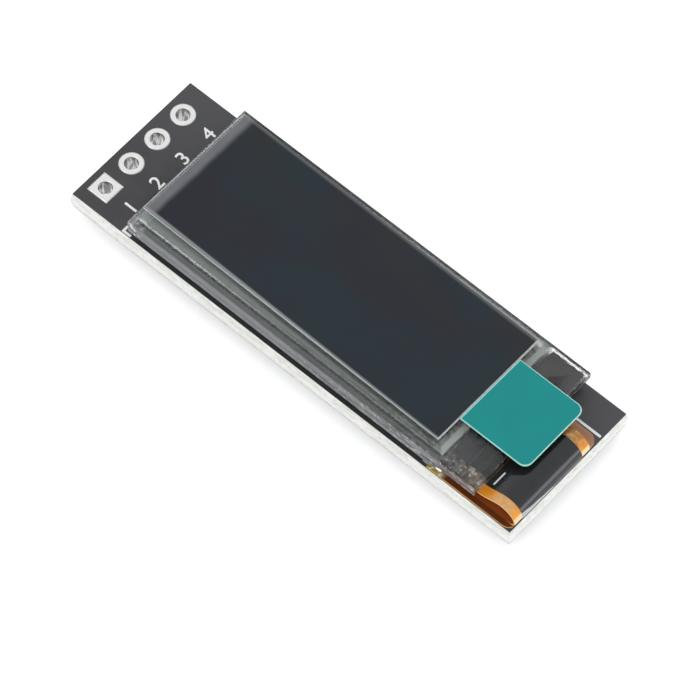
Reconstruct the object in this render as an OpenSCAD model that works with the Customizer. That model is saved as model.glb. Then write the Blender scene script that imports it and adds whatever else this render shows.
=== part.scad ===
// Small monochrome display module: a glass panel on a narrow circuit board.
// X runs along the board, from the pin holes to the cable loop. Y runs across it.
// Z is up: the module stands on its tallest back parts at z = 0, with the board centred on X and Y.

/* [Display panel] */
// Length of the front glass
panel_l = 30; // [28:0.5:40]
// Width of the front glass and the cap glass
panel_w = 11.5; // [11:0.5:18]
// Thickness of the front glass
front_t = 0.7; // [0.4:0.05:1.1]
// Thickness of the cap glass behind it
cap_t = 0.52; // [0.4:0.02:1.1]
// Length of front glass that stands out past the cap glass
ledge_l = 3.3; // [3:0.1:5]
// Width of the seal round the cap glass
seal_w = 0.86; // [0.5:0.02:1.2]
// Thickness of the seal
seal_t = 0.03; // [0.02:0.005:0.06]
// Depth of the recess in the cap glass
recess_d = 0.25; // [0.15:0.01:0.3]
// Chamfer on the edges of the glass
glass_chamfer = 0.05; // [0.02:0.01:0.1]
// Thickness of the drying sheet in the recess
dry_t = 0.12; // [0.05:0.01:0.14]
// Margin between the drying sheet and the walls of the recess
dry_margin = 0.6; // [0.2:0.1:1.5]
// Thickness of the light-emitting layers on the front glass
emitter_t = 0.02; // [0.01:0.005:0.02]
// Margin between the light-emitting layers and the seal
emitter_margin = 0.06; // [0.05:0.01:0.5]

/* [Board] */
// Board length that carries the pin holes, before the glass starts
header_room = 4.88; // [4:0.1:8]
// Board length past the end of the glass, for the cable loop
flex_room = 3.12; // [3:0.1:6]
// Board width that the glass leaves bare, on the side of pin 1
side_room = 0.1; // [0:0.1:2]
// Thickness of the board with its solder mask
board_t = 1.6; // [0.8:0.1:2]
// Thickness of the solder mask on each face
mask_t = 0.03; // [0.02:0.005:0.04]
// Depth of the scored bevel along each edge of the board
score_depth = 0.5; // [0.2:0.05:0.6]
// Distance that the broken web between the bevels stands out
score_out = 0.1; // [0.05:0.01:0.2]
// Height of the tallest back parts, on which the module rests
stand_h = 1.1; // [0.9:0.05:1.6]

/* [Pin holes] */
// Distance between the pin holes
pin_pitch = 2.54; // [2:0.01:2.54]
// Distance from the end of the board to the pin holes
pin_inset = 1.32; // [1.2:0.02:2]
// Distance of the pin row from the middle of the board, towards pin 1
pin_shift = 0.2; // [0:0.05:0.5]
// Diameter of the plated pin hole
hole_d = 1; // [0.8:0.05:1.1]
// Diameter of the round pads, and width of the square one
ring_d = 1.66; // [1.4:0.02:1.9]
// Thickness of the plating in the holes
plating_t = 0.05; // [0.03:0.01:0.1]
// Thickness of the tinned copper on the faces of the board
copper_t = 0.05; // [0.045:0.005:0.08]
// Clearance between the plating and the drilled board
drill_fit = 0.01; // [0.005:0.005:0.03]
// Clearance between the solder mask and the copper in its openings
mask_fit = 0.04; // [0.02:0.01:0.08]

/* [Tape, polarizer and film] */
// Thickness of the foam tape that holds the panel
tape_t = 0.5; // [0.4:0.05:1]
// Margin between the tape and the edges of the cap glass
tape_margin = 0.7; // [0.3:0.1:2]
// Thickness of the polarizer
polarizer_t = 0.18; // [0.1:0.01:0.3]
// Distance from the polarizer's edges to the film's edges
film_over = 0.2; // [0.1:0.05:0.4]
// Thickness of the clear protective film
film_t = 0.07; // [0.04:0.01:0.15]
// Distance from the glass to the film at the pin end
film_head = 0.2; // [0.05:0.01:1]
// Distance from the end of the cap glass back to the end of the film
film_short = 0.68; // [0.3:0.02:2]
// Distance from the glass to the film on the side of pin 1
film_near = 1.23; // [0.2:0.01:2]
// Distance from the glass to the film on the other side
film_far = 0.44; // [0.2:0.01:2]
// Turn of the film about its middle, in degrees, clockwise from above
film_turn = 0.5; // [0:0.1:0.8]
// Length of the pull tab past the film
tab_l = 5.55; // [3:0.05:6]
// Width of the pull tab
tab_w = 5.9; // [3:0.1:7]
// Thickness of the pull tab
tab_t = 0.1; // [0.06:0.01:0.2]
// Distance from the film's edge to the tab, on the side of pin 1
tab_near = 1.97; // [0.5:0.01:2.5]
// Radius of the tab's free corners
tab_r = 0.6; // [0.2:0.1:1.5]

/* [Driver chip] */
// Width of the driver chip
chip_w = 0.9; // [0.6:0.05:1]
// Thickness of the driver chip
chip_t = 0.3; // [0.2:0.01:0.35]
// Thickness of the black resin over the chip
resin_t = 0.4; // [0.38:0.01:0.45]
// Width of resin past each end of the chip
resin_end = 1.6; // [0.5:0.1:2]
// Distance from the glass edge to the black resin, on the side of pin 1
resin_near = 1.3; // [0.8:0.05:2]
// Distance from the glass edge to the black resin, on the other side
resin_far = 0.2; // [0.1:0.05:1]
// Distance from the end of the glass to the resin beside the cable
resin_short = 0.3; // [0.1:0.05:0.8]
// Length that each corner of the resin loses along the panel
resin_cut_l = 0.25; // [0.1:0.05:0.5]
// Length that each corner of the resin loses across the panel
resin_cut_w = 1.5; // [0.5:0.1:2]
// Gap between the cap glass and the resin
resin_gap = 0.08; // [0.03:0.01:0.3]
// Clearance between the resin and the cable's bonded end
bond_gap = 0.05; // [0.03:0.01:0.2]
// Clearance between the driver chip and the resin round it
chip_fit = 0.01; // [0.01:0.005:0.03]
// Thickness of the clear resin beside the black resin
clear_t = 0.35; // [0.2:0.05:0.38]
// Distance from the clear resin to the edges of the glass
clear_edge = 0.1; // [0.05:0.05:0.2]
// Clearance between the clear resin and its neighbours
clear_gap = 0.02; // [0.01:0.01:0.05]

/* [Flat cable] */
// Thickness of the cable
flex_t = 0.12; // [0.08:0.01:0.15]
// Width of the cable at its loop
neck_w = 7.4; // [6:0.1:8]
// Distance from the glass edge to the loop, on the side of pin 1
neck_near = 0.35; // [0.1:0.05:1]
// Share of the board beside the loop that the soldered tail covers, on the side of pin 1
tail_share = 0.9; // [0:0.05:0.95]
// Distance that the soldered tail stands out past the loop, on the other side
tail_out_far = 1.1; // [0:0.05:1.5]
// Radius of the tail's free corners
tail_r = 0.7; // [0.3:0.1:1.5]
// Distance from the loop's outer end back to the tail's free end
tail_short = 0.1; // [0.05:0.05:0.4]
// Distance from the end of the glass back to the end of the tail
tail_back = 3.98; // [3.8:0.02:5]
// Length of the cable's end that is bonded under the glass
bond_l = 1.5; // [1:0.05:1.7]
// Thickness of the bonding film
bond_t = 0.03; // [0.02:0.005:0.05]
// Rise of the loop above the bonded end
loop_rise = 0.5; // [0.1:0.05:0.7]
// Distance that the loop stands out past the end of the board
loop_out = 0.09; // [0:0.01:0.1]
// Length of the loop's upper bend, from its crest to its outer end
crest_l = 1.15; // [0.8:0.05:1.4]
// Length of the loop's lower bend, from its outer end to the board
turn_l = 0.75; // [0.5:0.05:1.4]
// Height of the loop's outer end, as a share of the loop's whole height
apex_share = 0.3; // [0.24:0.02:0.6]
// Thickness of the black cover on the loop
cover_t = 0.05; // [0.03:0.01:0.1]
// Width of the black cover
cover_w = 5.85; // [4:0.05:6]
// Width of bare cable beside the cover, on the side of pin 1
cover_near = 0.75; // [0.3:0.05:1]
// Distance between the soldered contacts
contact_pitch = 0.62; // [0.5:0.01:0.62]
// Width of one soldered contact
contact_w = 0.36; // [0.2:0.02:0.38]
// Length of one soldered contact on the cable
contact_l = 1; // [0.6:0.05:1.4]
// Length of one soldered contact on the board
land_l = 0.5; // [0.3:0.05:0.8]
// Height of the solder above the cable
bead_h = 0.15; // [0.08:0.01:0.2]

/* [Back parts] */
// Length of the large capacitors
big_l = 2; // [1.6:0.1:2.4]
// Width of the large capacitors
big_w = 1.25; // [0.8:0.05:1.6]
// Length of the small capacitors and the resistors
chip_part_l = 1.6; // [1.2:0.1:1.8]
// Width of the small capacitors and the resistors
chip_part_w = 0.8; // [0.5:0.05:1]
// Height of the small capacitors
small_h = 0.8; // [0.5:0.05:0.85]
// Height of the resistors
resistor_h = 0.45; // [0.3:0.05:0.6]
// Length of the metal end on a chip part
end_l = 0.35; // [0.2:0.05:0.5]
// Height of the solder under the back parts
seat_t = 0.05; // [0.03:0.01:0.08]
// Chamfer on the metal ends of a chip part
end_chamfer = 0.05; // [0.02:0.01:0.08]
// Step from a chip part's body out to its metal ends
end_step = 0.02; // [0.01:0.005:0.04]
// Length of solder land past a chip part
fillet_l = 0.28; // [0.15:0.01:0.35]
// Height of the solder against a metal end, as a share of the part's height
fillet_share = 0.6; // [0.3:0.05:0.8]
// Place of the hollow in the solder's slope, as a share of its length and height
fillet_hollow = 0.35; // [0.25:0.05:0.5]
// Length of the regulator's body
regulator_l = 2.9; // [2.6:0.1:3.2]
// Width of the regulator's body
regulator_w = 1.35; // [1.2:0.05:1.6]
// Span over the regulator's leads
regulator_span = 2.5; // [2.3:0.1:2.8]
// Distance between the regulator's two leads on one side
lead_pitch = 1.9; // [1.5:0.05:2]
// Width of a regulator lead
lead_w = 0.4; // [0.3:0.05:0.5]
// Thickness of a regulator lead
lead_t = 0.13; // [0.1:0.01:0.2]
// Gap between the regulator's body and the board
regulator_gap = 0.1; // [0.05:0.01:0.2]
// Taper of the regulator's sides, from its middle to its faces
regulator_taper = 0.08; // [0.03:0.01:0.15]
// Distance between the two columns of back parts and the middle of the board
column_y = 3; // [2.8:0.1:3.4]
// Distance between neighbouring back parts along the board
column_pitch = 3.7; // [3.4:0.1:4]
// Distance of the back parts from the middle of the board, towards the cable
column_shift = 0.8; // [0.4:0.1:1.2]
// Distance of the regulator from its neighbours' spacing, along the board
regulator_along = 0.4; // [0:0.1:0.5]
// Distance of the regulator from its column, towards the middle of the board
regulator_inward = 0.6; // [0.5:0.1:0.9]

/* [Printed marks] */
// Width of a printed line
line_w = 0.18; // [0.1:0.02:0.3]
// Thickness of the printed ink
ink_t = 0.02; // [0.01:0.005:0.02]
// Gap between a part and the printed line beside it
line_gap = 0.15; // [0.1:0.05:0.5]
// Distance from the loop's outer end back to the end of the long printed line
line_short = 0.2; // [0.1:0.05:1]
// Distance from the edge of the board to the printed corner mark
mark_edge = 0.05; // [0.05:0.05:0.3]
// Distance from the glass to the corner mark
mark_gap = 0.35; // [0.3:0.05:0.8]
// Length of the corner mark across the board
mark_w = 0.55; // [0.4:0.05:1.5]
// Length of the corner mark along the board
mark_l = 0.75; // [0.4:0.05:1.5]

/* [Hidden] */

$fn = 48;
// Steps in each bend of the cable
bend_steps = 14;
// Soldered contacts on the cable
contacts = 14;
// Pin holes in the board
pins = 4;
// Room that a cutting tool needs past the face that it cuts
over = 1;

// Places along X
board_l = header_room + panel_l + flex_room;
board_x0 = -board_l / 2;
board_x1 = board_l / 2;
panel_x0 = board_x0 + header_room;
panel_x1 = panel_x0 + panel_l;
cap_x1 = panel_x1 - ledge_l;
film_x0 = panel_x0 + film_head;
film_x1 = cap_x1 - film_short;
tail_x0 = panel_x1 - tail_back;
bond_x0 = panel_x1 - bond_l;
resin_x0 = cap_x1 + resin_gap;
resin_x1 = bond_x0 - bond_gap;
resin_x2 = panel_x1 - resin_short;
clear_x1 = panel_x1 - clear_edge;
tape_x1 = tail_x0 - land_l - tape_margin;

// Places across Y: pin 1 is on the negative side
board_w = panel_w + side_room;
panel_y0 = -board_w / 2 + side_room;
panel_y1 = panel_y0 + panel_w;
film_y0 = panel_y0 + film_near;
film_y1 = panel_y1 - film_far;
tab_y0 = film_y0 + tab_near;
neck_y0 = panel_y0 + neck_near;
neck_y1 = neck_y0 + neck_w;
tail_y0 = neck_y0 - tail_share * (neck_y0 + board_w / 2);
tail_y1 = neck_y1 + tail_out_far;
cover_y0 = neck_y0 + cover_near;
resin_y0 = panel_y0 + resin_near;
resin_y1 = panel_y1 - resin_far;
chip_y0 = resin_y0 + resin_end;
chip_y1 = resin_y1 - resin_end;

// Heights
board_z0 = stand_h;
core_z0 = board_z0 + mask_t;
board_z1 = board_z0 + board_t;
core_z1 = board_z1 - mask_t;
cap_z0 = board_z1 + tape_t;
cap_z1 = cap_z0 + cap_t;
front_z0 = cap_z1 + seal_t;
front_z1 = front_z0 + front_t;
film_z0 = front_z1 + polarizer_t;
// Height of the regulator's middle above the board
regulator_mid = (regulator_gap + stand_h) / 2;

// The loop's centre line
bond_z = front_z0 - bond_t - flex_t / 2;
tail_z = board_z1 + flex_t / 2;
crest_z = bond_z + loop_rise;
apex_x = board_x1 + loop_out - cover_t - flex_t / 2;
apex_z = tail_z + apex_share * (crest_z - tail_z);
crest_x = apex_x - crest_l;
turn_x = apex_x - turn_l;
rise_x = panel_x1 + cover_t;

// The columns of back parts: [x, y] of each, with its long side along X
back_x = [for (i = [-3:3]) i * column_pitch + column_shift];
regulator_at = [back_x[0] + regulator_along, column_y - regulator_inward];
large_at = [[back_x[0], -column_y], [back_x[1], -column_y], [back_x[6], column_y], [back_x[6], -column_y]];
small_at = [[back_x[2], column_y], [back_x[3], column_y], [back_x[4], column_y],
    [back_x[5], column_y], [back_x[4], -column_y], [back_x[5], -column_y]];
resistor_at = [[back_x[1], column_y], [back_x[2], -column_y], [back_x[3], -column_y], [back_x[3], 0]];

// The number of a list's last item
function last_of(list) = len(list) - 1;

// The section of the board: each edge has a bevel, a broken web that stands out, and a second bevel
function edge_outline(half_w, z0, z1, deep, out) = [
    [-half_w, z0], [-half_w - out, z0 + deep], [-half_w - out, z1 - deep], [-half_w, z1],
    [half_w, z1], [half_w + out, z1 - deep], [half_w + out, z0 + deep], [half_w, z0]];

// The centre line of the cable, from its bonded end over the loop to the soldered end
loop_path = concat(
    [[bond_x0, bond_z]],
    [for (i = [0:bend_steps]) let (u = i / bend_steps)
        [rise_x + u * (crest_x - rise_x), bond_z + loop_rise * (1 - cos(180 * u)) / 2]],
    [for (i = [1:bend_steps]) let (a = 90 - 90 * i / bend_steps)
        [crest_x + crest_l * cos(a), apex_z + (crest_z - apex_z) * sin(a)]],
    [for (i = [1:bend_steps]) let (a = -90 * i / bend_steps)
        [turn_x + turn_l * cos(a), apex_z + (apex_z - tail_z) * sin(a)]],
    [[tail_x0, tail_z]]);

// The outward direction at point i of a path
function outward(path, i) =
    let (ahead = path[min(i + 1, last_of(path))], behind = path[max(i - 1, 0)], run = ahead - behind)
    [-run[1], run[0]] / norm(run);

// A line beside a path, at a distance to its outer side
function beside(path, distance) = [for (i = [0:last_of(path)]) path[i] + distance * outward(path, i)];

// The same points in the other order
function backwards(list) = [for (i = [last_of(list):-1:0]) list[i]];

// Items first to last of a list
function part_of(list, first, last) = [for (i = [first:last]) list[i]];

// A box between two corners
module block(low, high) {
    translate(low) cube(high - low);
}

// A plate with chamfers on all its edges
module chamfered_plate(low, high, chamfer) {
    size = high - low;
    intersection() {
        translate([low[0], 0, 0])
            rotate([90, 0, 90])
                linear_extrude(size[0])
                    chamfered_rectangle([low[1], low[2]], [high[1], high[2]], chamfer);
        translate([0, high[1], 0])
            rotate([90, 0, 0])
                linear_extrude(size[1])
                    chamfered_rectangle([low[0], low[2]], [high[0], high[2]], chamfer);
    }
}

// A rectangle with its corners cut off
module chamfered_rectangle(low, high, c) {
    polygon([[low[0] + c, low[1]], [high[0] - c, low[1]], [high[0], low[1] + c], [high[0], high[1] - c],
        [high[0] - c, high[1]], [low[0] + c, high[1]], [low[0], high[1] - c], [low[0], low[1] + c]]);
}

// A flat strip whose two corners at the end of X are round
module tongue(x0, x1, y0, y1, r) {
    translate([x0, y0]) square([x1 - r - x0, y1 - y0]);
    translate([x0, y0 + r]) square([x1 - x0, y1 - y0 - 2 * r]);
    for (y = [y0 + r, y1 - r]) translate([x1 - r, y]) circle(r);
}

// A ribbon that follows the cable's path, between two distances from its centre line
module ribbon(path, inside, outside, y0, y1) {
    translate([0, y1, 0])
        rotate([90, 0, 0])
            linear_extrude(y1 - y0)
                polygon(concat(beside(path, outside), backwards(beside(path, inside))));
}

// The place of a pin hole
function pin_at(i) = [board_x0 + pin_inset, -pin_shift + (i - (pins + 1) / 2) * pin_pitch];

// The outline of a pin's pad: the first is square
module pad_outline(i, grow) {
    translate(pin_at(i))
        if (i == 1) square(ring_d + 2 * grow, center = true);
        else circle(d = ring_d + 2 * grow);
}

// Puts a part on the back of the board, with the board's surface at its z = 0
module on_back(at) {
    translate([at[0], at[1], board_z0]) mirror([0, 0, 1]) children();
}

// The bare board, drilled, with the bevels that its scored edges leave
module board() {
    color("ivory") difference() {
        intersection() {
            translate([board_x0 - score_out, 0, 0])
                rotate([90, 0, 90])
                    linear_extrude(board_l + 2 * score_out)
                        polygon(edge_outline(board_w / 2, core_z0, core_z1, score_depth, score_out));
            translate([0, board_w / 2 + score_out, 0])
                rotate([90, 0, 0])
                    linear_extrude(board_w + 2 * score_out)
                        polygon(edge_outline(board_l / 2, core_z0, core_z1, score_depth, score_out));
        }
        for (i = [1:pins])
            translate([pin_at(i)[0], pin_at(i)[1], 0])
                cylinder(d = hole_d + 2 * plating_t + 2 * drill_fit, h = board_z1 + over);
    }
}

// A sheet of solder mask with openings for the pin pads
module mask_sheet(z0) {
    translate([0, 0, z0])
        linear_extrude(mask_t)
            difference() {
                square([board_l, board_w], center = true);
                for (i = [1:pins]) pad_outline(i, mask_fit);
            }
}

// The mask on the display side, open over the lands of the cable
module solder_mask_top() {
    color("#2b2b2e") difference() {
        mask_sheet(core_z1);
        for (i = [1:contacts])
            translate([tail_x0 - land_l - mask_fit, contact_y(i) - contact_w / 2 - mask_fit, core_z1 - over])
                cube([land_l + 2 * mask_fit, contact_w + 2 * mask_fit, mask_t + 2 * over]);
    }
}

// The mask on the back, open over the lands of the parts
module solder_mask_bottom() {
    color("#2b2b2e") difference() {
        mask_sheet(board_z0);
        for (at = large_at) on_back(at) chip_openings(big_l, big_w);
        for (at = small_at) on_back(at) chip_openings(chip_part_l, chip_part_w);
        for (at = resistor_at) on_back(at) chip_openings(chip_part_l, chip_part_w);
        on_back(regulator_at) lead_places() lead_opening();
    }
}

// One of the two lands of a chip part, seen from its middle
module chip_land(l, w, grow, z0, z1) {
    block([l / 2 - end_l - grow, -w / 2 - grow, z0], [l / 2 + fillet_l + grow, w / 2 + grow, z1]);
}

// The openings in the mask for a chip part
module chip_openings(l, w) {
    for (turn = [0, 180]) rotate(turn) chip_land(l, w, mask_fit, -mask_t - over, over);
}

// The solder at both ends of a chip part: a land, and a fillet against the metal end
module chip_joints(l, w, h) {
    fillet_h = fillet_share * h;
    for (turn = [0, 180]) rotate(turn) {
        chip_land(l, w, 0, -mask_t, seat_t);
        translate([l / 2, w / 2, seat_t])
            rotate([90, 0, 0])
                linear_extrude(w)
                    polygon([[0, 0], [fillet_l, 0], fillet_hollow * [fillet_l, fillet_h], [0, fillet_h]]);
    }
}

// A chip part: a body between two slightly thicker metal ends
module chip_part(l, w, h) {
    block([-l / 2 + end_l, -w / 2 + end_step, seat_t + end_step],
        [l / 2 - end_l, w / 2 - end_step, seat_t + h - end_step]);
    for (turn = [0, 180]) rotate(turn)
        chamfered_plate([l / 2 - end_l, -w / 2, seat_t], [l / 2, w / 2, seat_t + h], end_chamfer);
}

// The place of a soldered contact across the board
function contact_y(i) = (tail_y0 + tail_y1) / 2 + (i - (contacts + 1) / 2) * contact_pitch;

// A printed line between two corners
module line(x0, y0, x1, y1, z) {
    block([x0, y0, z], [x1, y1, z + ink_t]);
}

// The printed lines on the display side: beside the cable's tail, and at the corner of the glass
module silkscreen_top() {
    line_y = tail_y1 + line_gap;
    line_x1 = apex_x - line_short;
    mark_x = panel_x0 - mark_gap - line_w;
    mark_y = -board_w / 2 + mark_edge;
    color("white") {
        line(tail_x0, line_y, line_x1, line_y + line_w, board_z1);
        translate([line_x1, line_y + line_w / 2, board_z1]) cylinder(d = line_w, h = ink_t);
        line(mark_x, mark_y, mark_x + line_w, mark_y + mark_w, board_z1);
        line(mark_x, mark_y, mark_x + mark_l, mark_y + line_w, board_z1);
    }
}

// The printed lines on the back: one along each side of a part
module silkscreen_bottom() {
    color("white") {
        for (at = large_at) on_back(at) side_lines(big_l, big_w);
        for (at = small_at) on_back(at) side_lines(chip_part_l, chip_part_w);
        for (at = resistor_at) on_back(at) side_lines(chip_part_l, chip_part_w);
        on_back(regulator_at) for (x = [-1, 1])
            translate([x * (regulator_l / 2 + line_gap + line_w / 2), 0, ink_t / 2])
                cube([line_w, regulator_w, ink_t], center = true);
    }
}

// Two printed lines beside a chip part
module side_lines(l, w) {
    for (y = [-1, 1])
        translate([0, y * (w / 2 + line_gap + line_w / 2), ink_t / 2])
            cube([l - 2 * end_l, line_w, ink_t], center = true);
}

// A plated pin hole: a barrel with a pad on each face of the board
module pin_pad(i) {
    color("silver") difference() {
        union() {
            translate([pin_at(i)[0], pin_at(i)[1], core_z0])
                cylinder(d = hole_d + 2 * plating_t, h = core_z1 - core_z0);
            translate([0, 0, core_z1]) linear_extrude(copper_t) pad_outline(i, 0);
            translate([0, 0, core_z0 - copper_t]) linear_extrude(copper_t) pad_outline(i, 0);
        }
        translate([pin_at(i)[0], pin_at(i)[1], 0]) cylinder(d = hole_d, h = board_z1 + over);
    }
}

// The foam tape between the board and the cap glass
module mounting_tape() {
    color("white")
        block([panel_x0 + tape_margin, panel_y0 + tape_margin, board_z1],
            [tape_x1, panel_y1 - tape_margin, cap_z0]);
}

// The cap glass, with the recess that faces the front glass
module cap_glass() {
    color("lightgrey", 0.5) difference() {
        chamfered_plate([panel_x0, panel_y0, cap_z0], [cap_x1, panel_y1, cap_z1], glass_chamfer);
        block([panel_x0 + seal_w, panel_y0 + seal_w, cap_z1 - recess_d],
            [cap_x1 - seal_w, panel_y1 - seal_w, cap_z1 + over]);
    }
}

// The drying sheet on the floor of the recess
module drying_sheet() {
    inset = seal_w + dry_margin;
    color("gainsboro")
        block([panel_x0 + inset, panel_y0 + inset, cap_z1 - recess_d],
            [cap_x1 - inset, panel_y1 - inset, cap_z1 - recess_d + dry_t]);
}

// The seal between the two sheets of glass
module seal_frame() {
    color("darkseagreen") difference() {
        block([panel_x0 + glass_chamfer, panel_y0 + glass_chamfer, cap_z1],
            [cap_x1 - glass_chamfer, panel_y1 - glass_chamfer, front_z0]);
        block([panel_x0 + seal_w, panel_y0 + seal_w, cap_z1 - over],
            [cap_x1 - seal_w, panel_y1 - seal_w, front_z0 + over]);
    }
}

// The light-emitting layers on the back of the front glass
module emitter_layers() {
    inset = seal_w + emitter_margin;
    color("#303338")
        block([panel_x0 + inset, panel_y0 + inset, front_z0 - emitter_t],
            [cap_x1 - inset, panel_y1 - inset, front_z0]);
}

// The front glass, which stands out past the cap glass
module front_glass() {
    color("lightcyan", 0.4)
        chamfered_plate([panel_x0, panel_y0, front_z0], [panel_x1, panel_y1, front_z1], glass_chamfer);
}

// Turns a piece of the film about the film's middle
module turned_with_film() {
    middle = [(film_x0 + film_x1) / 2, (film_y0 + film_y1) / 2, 0];
    translate(middle) rotate(-film_turn) translate(-middle) children();
}

// The dark polarizer on the front glass
module polarizer() {
    color("#303438") turned_with_film()
        block([film_x0 + film_over, film_y0 + film_over, front_z1],
            [film_x1 - film_over, film_y1 - film_over, film_z0]);
}

// The clear protective film over the polarizer
module protective_film() {
    color("whitesmoke", 0.4) turned_with_film()
        block([film_x0, film_y0, film_z0], [film_x1, film_y1, film_z0 + film_t]);
}

// The pull tab: it starts at the turned end of the film
module pull_tab() {
    color("lightseagreen") difference() {
        translate([0, 0, film_z0])
            linear_extrude(tab_t)
                tongue(film_x1 - over, film_x1 + tab_l, tab_y0, tab_y0 + tab_w, tab_r);
        turned_with_film()
            block([film_x0, film_y0 - over, film_z0 - over], [film_x1, film_y1 + over, film_z0 + tab_t + over]);
    }
}

// The room that the driver chip takes under the ledge, grown by a clearance
module chip_room(grow) {
    mid_x = (resin_x0 + resin_x1) / 2;
    block([mid_x - chip_w / 2 - grow, chip_y0 - grow, front_z0 - chip_t - grow],
        [mid_x + chip_w / 2 + grow, chip_y1 + grow, front_z0]);
}

// The driver chip on the back of the ledge
module driver_chip() {
    color("dimgrey") chip_room(0);
}

// The black resin round the driver chip: beside the cable it reaches nearly to the end of the glass
module chip_resin() {
    color("#1c1c1e") difference() {
        translate([0, 0, front_z0 - resin_t])
            linear_extrude(resin_t)
                polygon([[resin_x0, resin_y0 + resin_cut_w], [resin_x0 + resin_cut_l, resin_y0],
                    [resin_x1, resin_y0], [resin_x1, neck_y1 + bond_gap], [resin_x2, neck_y1 + bond_gap],
                    [resin_x2, resin_y1],
                    [resin_x0 + resin_cut_l, resin_y1], [resin_x0, resin_y1 - resin_cut_w]]);
        chip_room(chip_fit);
    }
}

// The clear resin on the bare part of the ledge, on the side of pin 1: it also runs along the cable's edge
module clear_resin() {
    color("lightgrey", 0.6) difference() {
        block([resin_x0, panel_y0 + clear_edge, front_z0 - clear_t],
            [clear_x1, resin_y0 - clear_gap, front_z0]);
        block([bond_x0 - bond_gap, neck_y0 - clear_gap, front_z0 - clear_t - over],
            [clear_x1 + over, resin_y0, front_z0 + over]);
    }
}

// The film that bonds the cable to the ledge
module bond_film() {
    color("#26241f")
        block([bond_x0, neck_y0, front_z0 - bond_t], [panel_x1 - glass_chamfer, neck_y1, front_z0]);
}

// The flat cable: bonded under the ledge, over its loop and back under the glass to the contacts
module flex_cable() {
    color("orange") {
        ribbon(loop_path, -flex_t / 2, flex_t / 2, neck_y0, neck_y1);
        intersection() {
            ribbon(loop_path, -flex_t / 2, flex_t / 2, tail_y0, tail_y1);
            translate([0, 0, board_z1])
                linear_extrude(apex_z - board_z1)
                    tongue(tail_x0, apex_x - tail_short, tail_y0, tail_y1, tail_r);
        }
    }
}

// The black cover on the outside of the loop
module flex_cover() {
    first = 1;
    last = 3 * bend_steps - 4;
    outer = part_of(beside(loop_path, flex_t / 2 + cover_t), first, last);
    inner = part_of(beside(loop_path, flex_t / 2), first, last);
    color("#1a1a1c")
        translate([0, cover_y0 + cover_w, 0])
            rotate([90, 0, 0])
                linear_extrude(cover_w)
                    polygon(concat(outer, backwards(inner)));
}

// One soldered contact: a bead over the end of the cable and the land on the board
module contact(y) {
    bead_z = board_z1 + flex_t + bead_h - contact_w / 2;
    difference() {
        translate([tail_x0 - land_l, y, 0])
            rotate([90, 0, 90])
                linear_extrude(land_l + contact_l) {
                    translate([-contact_w / 2, core_z1]) square([contact_w, bead_z - core_z1]);
                    translate([0, bead_z]) circle(d = contact_w);
                }
        block([tail_x0, y - contact_w, 0], [tail_x0 + contact_l + over, y + contact_w, board_z1 + flex_t]);
        block([tail_x0 - land_l - over, y - contact_w, 0], [tail_x0 + over, y + contact_w, core_z1]);
    }
}

// The row of soldered contacts
module flex_solder_joints() {
    color("silver") for (i = [1:contacts]) contact(contact_y(i));
}

// The places of the regulator's three leads, with the foot pointing along +Y
module lead_places() {
    for (x = [-lead_pitch / 2, lead_pitch / 2]) translate([x, 0, 0]) children();
    rotate(180) children();
}

// The opening in the mask under one lead
module lead_opening() {
    block([-lead_w / 2 - mask_fit, regulator_span / 2 - end_l - mask_fit, -mask_t - over],
        [lead_w / 2 + mask_fit, regulator_span / 2 + fillet_l / 2 + mask_fit, over]);
}

// The regulator's moulded body, with tapered sides
module regulator_body() {
    color("#222224") on_back(regulator_at) intersection() {
        translate([-regulator_l / 2, 0, 0])
            rotate([90, 0, 90])
                linear_extrude(regulator_l)
                    polygon(body_outline(regulator_w / 2));
        translate([0, regulator_w / 2, 0])
            rotate([90, 0, 0])
                linear_extrude(regulator_w)
                    polygon(body_outline(regulator_l / 2));
    }
}

// The section of the regulator's body, widest at its middle
function body_outline(half) = [
    [-half + regulator_taper, regulator_gap], [half - regulator_taper, regulator_gap],
    [half, regulator_mid], [half - regulator_taper, stand_h],
    [-half + regulator_taper, stand_h], [-half, regulator_mid]];

// One gull-wing lead, from the body's side down to its foot
module lead() {
    root = regulator_w / 2;
    knee = regulator_span / 2 - end_l;
    toe = regulator_span / 2;
    foot_z = seat_t + lead_t;
    translate([-lead_w / 2, 0, 0])
        rotate([90, 0, 90])
            linear_extrude(lead_w)
                polygon([[root, regulator_mid], [knee, regulator_mid], [knee, seat_t], [toe, seat_t],
                    [toe, foot_z], [knee + lead_t, foot_z], [knee + lead_t, regulator_mid + lead_t],
                    [root, regulator_mid + lead_t]]);
}

// The regulator's three leads
module regulator_leads() {
    color("silver") on_back(regulator_at) lead_places() lead();
}

// The solder under and around every back part
module back_solder_joints() {
    color("lightgrey") {
        for (at = large_at) on_back(at) chip_joints(big_l, big_w, stand_h - seat_t);
        for (at = small_at) on_back(at) chip_joints(chip_part_l, chip_part_w, small_h);
        for (at = resistor_at) on_back(at) chip_joints(chip_part_l, chip_part_w, resistor_h);
        on_back(regulator_at) lead_places()
            block([-lead_w / 2, regulator_span / 2 - end_l, -mask_t],
                [lead_w / 2, regulator_span / 2 + fillet_l / 2, seat_t]);
    }
}

// A large capacitor, as tall as the regulator
module capacitor_large(i) {
    color("burlywood") on_back(large_at[i - 1]) chip_part(big_l, big_w, stand_h - seat_t);
}

// A small capacitor
module capacitor_small(i) {
    color("tan") on_back(small_at[i - 1]) chip_part(chip_part_l, chip_part_w, small_h);
}

// A resistor
module resistor(i) {
    color("#2a2a2a") on_back(resistor_at[i - 1]) chip_part(chip_part_l, chip_part_w, resistor_h);
}

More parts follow.
